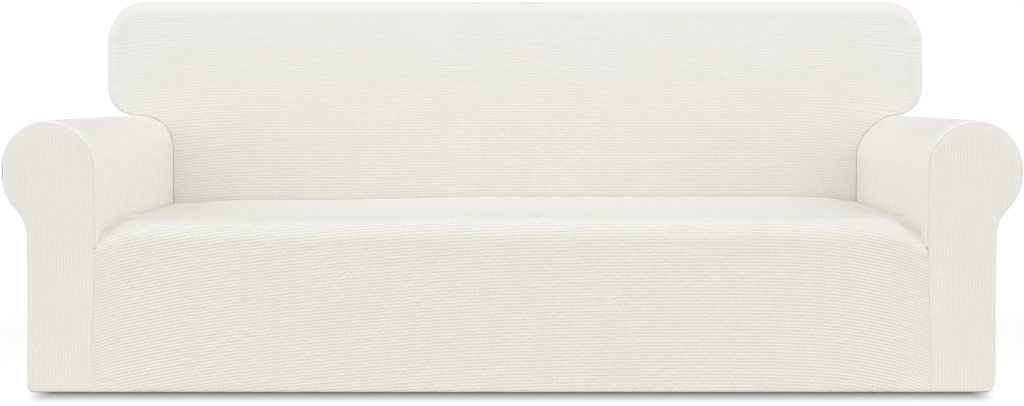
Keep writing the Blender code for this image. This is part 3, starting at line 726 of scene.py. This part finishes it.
class OutsideBack(BackForm):
    """The rear, from the floor up round the arms' and the ears' outline."""

    NOTCH_Z = ROLL_Z + ROLL_R
    NOTCH_EDGE_DROP = 0.018         # the edge is this much tighter in the notch above the arm

    def __init__(self):
        super().__init__(1, 0.0, REAR_EDGE_R, REAR_Y - REAR_EDGE_R)
        self.arms = outer_outline(0.0)

    def relief(self, row):
        return np.full(np.shape(row), REAR_RELIEF)

    def crown(self, x):
        return 0.0 * x

    def walled(self, side, row):
        return np.full(np.shape(row), True)

    def edge(self, side, row):
        height = np.minimum(row, CORNER_Z)
        low, high = self.arms.at_height(height), self.ears.at_height(height)
        x, z, angle = (np.where(height <= self.NOTCH_Z, a, b) for a, b in zip(low, high))
        radius = self.edge_r - self.NOTCH_EDGE_DROP * (1 - ease(abs(height - self.NOTCH_Z), 0.0, 0.06))
        return x, z, np.sin(angle), -np.cos(angle), radius

    def over_edge(self, x, z, nx, nz, radius, y, turn, *rest):
        """A tighter edge is drawn out, so that it still reaches the seam."""
        y = y - self.facing * (self.edge_r - radius) * (1 - np.cos(turn))
        return super().over_edge(x, z, nx, nz, radius, y, turn, *rest)

    def face_y(self, x, z):
        rise = np.clip(z / TOP_Z, 0.0, 1.0)
        return REAR_Y - REAR_CROWN * np.sin(pi * rise) * (1 - np.clip(abs(x), 0.0, 1.0) ** 2)


def boxed_layer(sheet, form, columns, rows, depths, side_depths, lift_of):
    """One layer of a back panel. Returns its bottom edge, and its seam edge in three parts.

    Depths are shares of the way over the edge, from the face to the seam.
    """
    arc_run = form.edge_r * pi / 2
    seam_run = arc_run + abs(form.seam_y - form.face_y(0.0, form.top)) - form.edge_r

    def turn_and_run(depth):
        return min(depth, arc_run) / form.edge_r, max(depth - arc_run, 0.0) / (seam_run - arc_run)

    out = -form.facing
    depths, side_depths = depths * seam_run, side_depths * seam_run
    faces = []
    for u in columns:
        front = lifted(form.face, u, rows, lift_of(rows), out)
        edges = np.array([form.top_point(u, *turn_and_run(d), lift_of(form.top + d)) for d in depths])
        along = front[:, 0]
        keys = np.concatenate([rows, form.top + depths])
        flat = np.concatenate([along, edges[:, 0]]), keys
        faces.append(sheet.line(keys, np.concatenate([front, edges]), flat, form.relief(keys)))
    sheet.layer(faces)
    bottom = [(u, line[1][0]) for u, line in zip(columns, faces)]
    seams = [(np.asarray(columns), np.array([line[1][-1] for line in faces]))]
    short = rows[:-1]
    for side, face in ((-1, faces[0]), (1, faces[-1])):
        previous = (short, face[1][:len(short)])
        mitre = [(0.0, previous[1][-1])]
        for depth in side_depths:
            turn, run = turn_and_run(depth)
            fade = ease(form.top - short, 0.0, 0.03)
            points = form.side_point(side, short, turn, run, lift_of(short, fade))
            line = sheet.line(short, points, (side * (1.1 + depth), short), form.relief(short))
            sheet.strip(previous, line)
            bottom.append((side * (2 + depth), line[1][0]))
            mitre.append((depth, line[1][-1]))
            previous = line
        corner = face[1][len(short):]
        keys, chain = zip(*mitre)
        sheet.strip((np.array(keys), np.array(chain)), (np.concatenate([[0.0], depths]), corner))
        seams.append((np.append(previous[0], form.top), np.append(previous[1], corner[-1])))
    bottom.sort(key=lambda pair: pair[0])
    keys, chain = zip(*bottom)
    return [(np.array(keys), np.array(chain)), *seams]


def back_panel(form, columns, seam_run, foot_fade, seam_fade):
    """A panel of the back, whose ribs rise above its foot and fade before its seam."""
    cloth, pitch, rib = sizes().cloth, sizes().back_rib_pitch, sizes().rib_height

    def ribbed(places, fade=1.0):
        risen = ease(places, *(form.bottom + limit for limit in foot_fade))
        kept = risen * ease(form.top + seam_run - places, 0.0, seam_fade)
        return rib * crests(places, pitch) * form.relief(places) * kept * fade

    def plain(places, fade=1.0):
        return np.full(np.shape(places), -cloth)

    rows = rib_rows(form.bottom, form.top, pitch)
    depths = (rib_rows(form.top, form.top + seam_run, pitch)[1:] - form.top) / seam_run
    depths = depths / depths[-1]
    share = form.edge_r * pi / 2 / seam_run
    side_depths = np.concatenate([np.linspace(0.0, share, 9)[1:], np.linspace(share, 1.0, 6)[1:]])
    rows_in = rows[::6] if (len(rows) - 1) % 6 == 0 else np.append(rows[:-3:6], rows[-1])
    columns_in = columns[::3] if (len(columns) - 1) % 3 == 0 else columns[::2]
    sheet = Sheet()
    outside = boxed_layer(sheet, form, columns, rows, depths, side_depths, ribbed)
    inside = boxed_layer(sheet, form, columns_in, rows_in, side_depths, side_depths, plain)
    for edges in zip(outside, inside):
        sheet.strip(*edges)
    return sheet


def inside_back():
    form = InsideBack()
    seam_run = form.edge_r * pi / 2 + REAR_SEAM_Y - float(form.face_y(0.0, form.top)) - form.edge_r
    columns = spread([0.915, 0.935, 0.952, 0.967, 0.98, 0.99, 1.0], 0.89, 63)
    return back_panel(form, columns, seam_run, (0.01, 0.03), 0.02)


def outside_back():
    form = OutsideBack()
    columns = spread([0.93, 0.95, 0.97, 0.985, 1.0], 0.90, 51)
    return back_panel(form, columns, form.edge_r * pi / 2, (0.004, 0.02), 0.01)


# ---- finish ----

class Value:
    """A socket whose operators add the Math nodes they stand for."""

    def __init__(self, nodes, socket):
        self.nodes, self.socket = nodes, socket

    def _math(self, operation, *values):
        return self.nodes.node("ShaderNodeMath", {"operation": operation}, values)

    def __add__(self, other):
        return self._math("ADD", self, other)

    def __sub__(self, other):
        return self._math("SUBTRACT", self, other)

    def __rsub__(self, other):
        return self._math("SUBTRACT", other, self)

    def __mul__(self, other):
        return self._math("MULTIPLY", self, other)

    def __truediv__(self, other):
        return self._math("DIVIDE", self, other)

    def __pow__(self, other):
        return self._math("POWER", self, other)

    __radd__, __rmul__ = __add__, __mul__


class Nodes:
    """The nodes of a material or world, added one call each."""

    def __init__(self, owner):
        self.tree = owner.node_tree

    def node(self, kind, settings=None, values=(), output=0):
        """Adds a node of a type, sets it up, and fills its sockets by order or by name."""
        node = self.tree.nodes.new(kind)
        for name, setting in (settings or {}).items():
            setattr(node, name, setting)
        pairs = values.items() if isinstance(values, dict) else enumerate(values)
        for key, value in pairs:
            if isinstance(value, Value):
                self.tree.links.new(value.socket, node.inputs[key])
            else:
                node.inputs[key].default_value = value
        return Value(self, node.outputs[output])

    def mix(self, factor, first, second, blend="MIX"):
        return self.node("ShaderNodeMix", {"data_type": "RGBA", "blend_type": blend},
                         {0: factor, 6: first, 7: second}, 2)

    def wave(self, kind, value):
        return self.node("ShaderNodeMath", {"operation": kind}, (value,))

    def between(self, value, low, high):
        """From 0 at the low value smoothly to 1 at the high one."""
        return self.node("ShaderNodeMapRange", {"interpolation_type": "SMOOTHSTEP"}, (value, low, high))

    def vector(self, operation, *values):
        length = operation == "LENGTH"
        return self.node("ShaderNodeVectorMath", {"operation": operation}, values, int(length))

    def for_camera(self, seen, lighting):
        """A shader that the camera sees, while all else is lit by another one."""
        ray = self.node("ShaderNodeLightPath", {}, {}, "Is Camera Ray")
        return self.node("ShaderNodeMixShader", {}, {0: ray, 1: lighting, 2: seen})

    def join(self, value, socket):
        self.tree.links.new(value.socket, socket)


# Sizes of the knit's unevenness along and across the ribs. PER_RIB ones are in ribs across.
PATCH_SIZE, FIBRE_SIZE = (0.16, 0.12), (0.0012, 0.0008)
STREAK_PER_RIB, SPECKLE_PER_RIB = (0.022, 0.9), (0.004, 0.6)
STITCH_SLANT = 2.2                  # how far a stitch leans ahead from groove to crest, in radians
BUMP_DEPTH = 0.0006
FIXED_LOOKS = {"Sheen Weight": 0.05, "Sheen Roughness": 0.6, "Specular IOR Level": 0.25}


def knit(name, pitch):
    """Ivory rib knit. The flat pattern's first coordinate runs along the ribs, the second across."""
    material = bpy.data.materials.new(name)
    material.use_nodes = True
    shader = material.node_tree.nodes["Principled BSDF"]
    look = finish()
    nodes = Nodes(material)
    flat = nodes.node("ShaderNodeUVMap", {"uv_map": "knit"})
    along, across = (nodes.node("ShaderNodeSeparateXYZ", {}, (flat,), axis) for axis in "XY")
    relief, warmth = (nodes.node("ShaderNodeAttribute", {"attribute_name": kind}, {}, "Fac")
                      for kind in ("relief", "warmth"))

    def noise(size_along, size_across, detail=2.0):
        """Soft noise from 0 to 1 whose blots have a size along the ribs and one across."""
        place = nodes.node("ShaderNodeCombineXYZ", {}, (along / size_along, across / size_across, 0.0))
        return nodes.node("ShaderNodeTexNoise", {"normalize": True},
                          {"Vector": place, "Scale": 1.0, "Detail": detail})

    phase = across * (2 * pi / pitch)
    crest = 0.5 - 0.5 * nodes.wave("COSINE", phase)
    column = along * (2 * pi / look.stitch) + crest * STITCH_SLANT
    stitch = (0.5 + 0.5 * nodes.wave("SINE", column)) * crest

    patch = noise(*PATCH_SIZE)
    streak = noise(STREAK_PER_RIB[0], STREAK_PER_RIB[1] * pitch)
    speckle = noise(SPECKLE_PER_RIB[0], SPECKLE_PER_RIB[1] * pitch, 0.0)
    # The painted groove shade shows in the grooves, by patches and streaks, and its dark colour also in
    # random specks.
    depth = (1.0 - nodes.between(crest, 0.0, 0.8)) * relief * (0.45 + 1.1 * patch) * (1.9 * streak)
    depth = depth + 0.6 * relief * nodes.between(speckle, 0.62, 0.78)
    colour = nodes.mix(depth, look.yarn, look.groove_shade_and_speck)
    colour = nodes.mix(1.1 * relief * nodes.between(speckle, 0.38, 0.22), colour, look.fleck)
    colour = nodes.mix(0.3 * nodes.between(patch, 0.35, 0.70), colour, look.shade)
    # Painted shade: a warmer, darker tint multiplied into the knit wherever a panel is given painted warm
    # shade.
    colour = nodes.mix(warmth, colour, look.painted_shade_tint, "MULTIPLY")
    nodes.join(colour, shader.inputs["Base Color"])
    nodes.join(look.roughness - 0.06 * stitch, shader.inputs["Roughness"])
    yarns = stitch * (0.3 + 0.5 * relief) + noise(*FIBRE_SIZE) * 0.35
    bump = nodes.node("ShaderNodeBump", {}, {"Strength": 0.5, "Distance": BUMP_DEPTH, "Height": yarns})
    nodes.join(bump, shader.inputs["Normal"])
    for socket, value in FIXED_LOOKS.items():
        shader.inputs[socket].default_value = value
    return material


def panel(name, sheet, pitch):
    """Makes a panel of the cover from its sheet."""
    piece = sheet.finish("cover_" + name, name)
    piece.data.materials.append(knit("knit_" + name, pitch))
    return piece


# ---- operators ----

class SLIPCOVER_OT_back(bpy.types.Operator):
    """Sews the inside and the outside of the back"""
    bl_idname = "slipcover.back"
    bl_label = "Back"

    def execute(self, context):
        pitch = sizes().back_rib_pitch
        panel("inside_back", inside_back(), pitch)
        panel("outside_back", outside_back(), pitch)
        return {"FINISHED"}


class SLIPCOVER_OT_seat_skirt(bpy.types.Operator):
    """Lays the cloth over the seat and down to the floor"""
    bl_idname = "slipcover.seat_skirt"
    bl_label = "Seat and skirt"

    def execute(self, context):
        panel("seat_skirt", seat_skirt(), sizes().rib_pitch)
        return {"FINISHED"}


class SLIPCOVER_OT_arms(bpy.types.Operator):
    """Wraps the two arms"""
    bl_idname = "slipcover.arms"
    bl_label = "Arms"

    def execute(self, context):
        for name, side in (("arm_left", -1), ("arm_right", 1)):
            panel(name, arm(side), sizes().rib_pitch)
        return {"FINISHED"}


class SLIPCOVER_OT_arm_fronts(bpy.types.Operator):
    """Closes the fronts of the arms"""
    bl_idname = "slipcover.arm_fronts"
    bl_label = "Arm fronts"

    def execute(self, context):
        for name, side in (("arm_front_left", -1), ("arm_front_right", 1)):
            panel(name, arm_front(side), sizes().rib_pitch)
        return {"FINISHED"}


class SLIPCOVER_OT_stage(bpy.types.Operator):
    """Sets up the floor, the lights and the camera"""
    bl_idname = "slipcover.stage"
    bl_label = "Studio"

    def execute(self, context):
        add_floor()
        add_lights()
        add_camera()
        return {"FINISHED"}


# ---- studio ----

FLOOR_SIZE = 60.0
# The floor's painted shadow: how far inside the cover's ends it starts, its corners, how much narrower it
# is along the sofa than across, its width, and how fast it fades.
SHADE_INSET, SHADE_CORNER, SHADE_NARROW = 0.028, 0.12, Vector((3.0, 1.0, 0.0))
SHADE_WIDTH, SHADE_FALL = 0.130, 1.5
WHITE = (1.0, 1.0, 1.0, 1.0)
BACKDROP = 1.05                     # strength of the white that the camera sees behind the cover
# Each light's name, where it comes from, its spread in degrees and its setting.
LIGHTS = (
    ("top_light", (0.0, 0.15, 1.0), 80.0, "top"),
    ("front_light", (0.0, -1.0, 1.0), 60.0, "front"),
    ("left_light", (-1.0, -0.35, 0.5), 75.0, "side"),
    ("right_light", (1.0, -0.35, 0.5), 75.0, "side"),
)
CAMERA_SPOT = (0.0451, -3.1393, 0.6669)
CAMERA_PITCH = 2.327                # degrees below the level
LENS, SENSOR = 42.86, 36.0          # millimetres
SHIFT_X, SHIFT_Y = -0.0192, -0.0590


def add_floor():
    """A white floor. Close to the cover the camera sees a soft shadow that is painted into its colour."""
    bpy.ops.mesh.primitive_plane_add(size=FLOOR_SIZE, location=(0.0, 0.0, 0.0))
    floor = bpy.context.object
    floor.name = "studio_floor"
    material = bpy.data.materials.new("studio_floor")
    material.use_nodes = True
    nodes = Nodes(material)
    nodes.tree.nodes.remove(nodes.tree.nodes["Principled BSDF"])
    place = nodes.node("ShaderNodeTexCoord", {}, {}, "Object")
    middle = Vector((0.0, (FRONT_Y + REAR_Y) / 2, 0.0))
    half = Vector((WALL_X - SHADE_INSET - SHADE_CORNER / SHADE_NARROW.x,
                   (REAR_Y - FRONT_Y) / 2 - SHADE_CORNER, 0.0))
    apart = nodes.vector("ABSOLUTE", nodes.vector("SUBTRACT", place, middle))
    apart = nodes.vector("MAXIMUM", nodes.vector("SUBTRACT", apart, half), Vector())
    away = nodes.vector("LENGTH", nodes.vector("MULTIPLY", apart, SHADE_NARROW))
    painted_shadow_strength = nodes.node("ShaderNodeMapRange", {},
                      (away, SHADE_CORNER, SHADE_CORNER + SHADE_WIDTH, 1.0, 0.0))
    # Painted shadow: the floor's colour darkens towards the painted shadow's colour close to the cover.
    colour = nodes.mix(painted_shadow_strength ** SHADE_FALL, studio().floor, studio().painted_shadow)
    matt = {"Roughness": 1.0, "Specular IOR Level": 0.0}
    plain = nodes.node("ShaderNodeBsdfPrincipled", {}, {**matt, "Base Color": studio().floor})
    # Only the camera sees the painted shadow; light bouncing off the floor comes from the plain colour.
    glowing = nodes.node("ShaderNodeBsdfPrincipled", {}, {
        **matt, "Base Color": colour, "Emission Color": colour, "Emission Strength": studio().glow})
    nodes.join(nodes.for_camera(glowing, plain), nodes.tree.nodes["Material Output"].inputs["Surface"])
    floor.data.materials.append(material)


def add_soft_sun(name, source, spread, strength):
    """Even light from a direction, as wide as a large softbox."""
    light = bpy.data.lights.new(name, "SUN")
    light.energy, light.angle = strength, radians(spread)
    lamp = bpy.data.objects.new(name, light)
    lamp.rotation_euler = Vector(source).to_track_quat("Z", "Y").to_euler()
    bpy.context.scene.collection.objects.link(lamp)


def add_lights():
    """Soft lights, and a world that the camera sees as white."""
    scene = bpy.context.scene
    world = bpy.data.worlds.new("studio")
    world.use_nodes = True
    scene.world = world
    nodes = Nodes(world)
    lit = nodes.tree.nodes["Background"]
    lit.inputs["Color"].default_value = WHITE
    lit.inputs["Strength"].default_value = studio().sky
    backdrop = nodes.node("ShaderNodeBackground", {}, {"Color": WHITE, "Strength": BACKDROP})
    both = nodes.for_camera(backdrop, Value(nodes, lit.outputs[0]))
    nodes.join(both, nodes.tree.nodes["World Output"].inputs["Surface"])
    for name, source, spread, setting in LIGHTS:
        add_soft_sun(name, source, spread, getattr(studio(), setting))
    scene.view_settings.view_transform = "Standard"
    scene.view_settings.look = "None"


def add_camera():
    lens = bpy.data.cameras.new("camera")
    lens.lens, lens.sensor_width = LENS, SENSOR
    lens.shift_x, lens.shift_y = SHIFT_X, SHIFT_Y
    camera = bpy.data.objects.new("camera", lens)
    camera.location = CAMERA_SPOT
    camera.rotation_euler = (radians(90.0 - CAMERA_PITCH), 0.0, 0.0)
    bpy.context.scene.collection.objects.link(camera)
    bpy.context.scene.camera = camera


# ---- add-on ----

OPERATORS = (SLIPCOVER_OT_back, SLIPCOVER_OT_seat_skirt, SLIPCOVER_OT_arms, SLIPCOVER_OT_arm_fronts,
             SLIPCOVER_OT_stage)


class SLIPCOVER_PT_panel(bpy.types.Panel):
    bl_label = "Sofa slipcover"
    bl_idname = "SLIPCOVER_PT_panel"
    bl_space_type = "VIEW_3D"
    bl_region_type = "UI"
    bl_category = "Slipcover"

    def draw(self, context):
        for group in (sizes(), finish(), studio()):
            for name in group.__annotations__:
                self.layout.prop(group, name)
        for operator in OPERATORS:
            self.layout.operator(operator.bl_idname)


GROUPS = {"slipcover_sizes": SlipcoverSizes, "slipcover_finish": SlipcoverFinish,
          "slipcover_stage": SlipcoverStage}
CLASSES = (*GROUPS.values(), *OPERATORS, SLIPCOVER_PT_panel)


def register():
    for item in CLASSES:
        bpy.utils.register_class(item)
    for name, group in GROUPS.items():
        setattr(bpy.types.Scene, name, bpy.props.PointerProperty(type=group))


def unregister():
    for name in GROUPS:
        delattr(bpy.types.Scene, name)
    for item in reversed(CLASSES):
        bpy.utils.unregister_class(item)


def main():
    register()
    bpy.ops.slipcover.back()
    bpy.ops.slipcover.seat_skirt()
    bpy.ops.slipcover.arms()
    bpy.ops.slipcover.arm_fronts()
    bpy.ops.slipcover.stage()


if __name__ == "__main__":
    main()
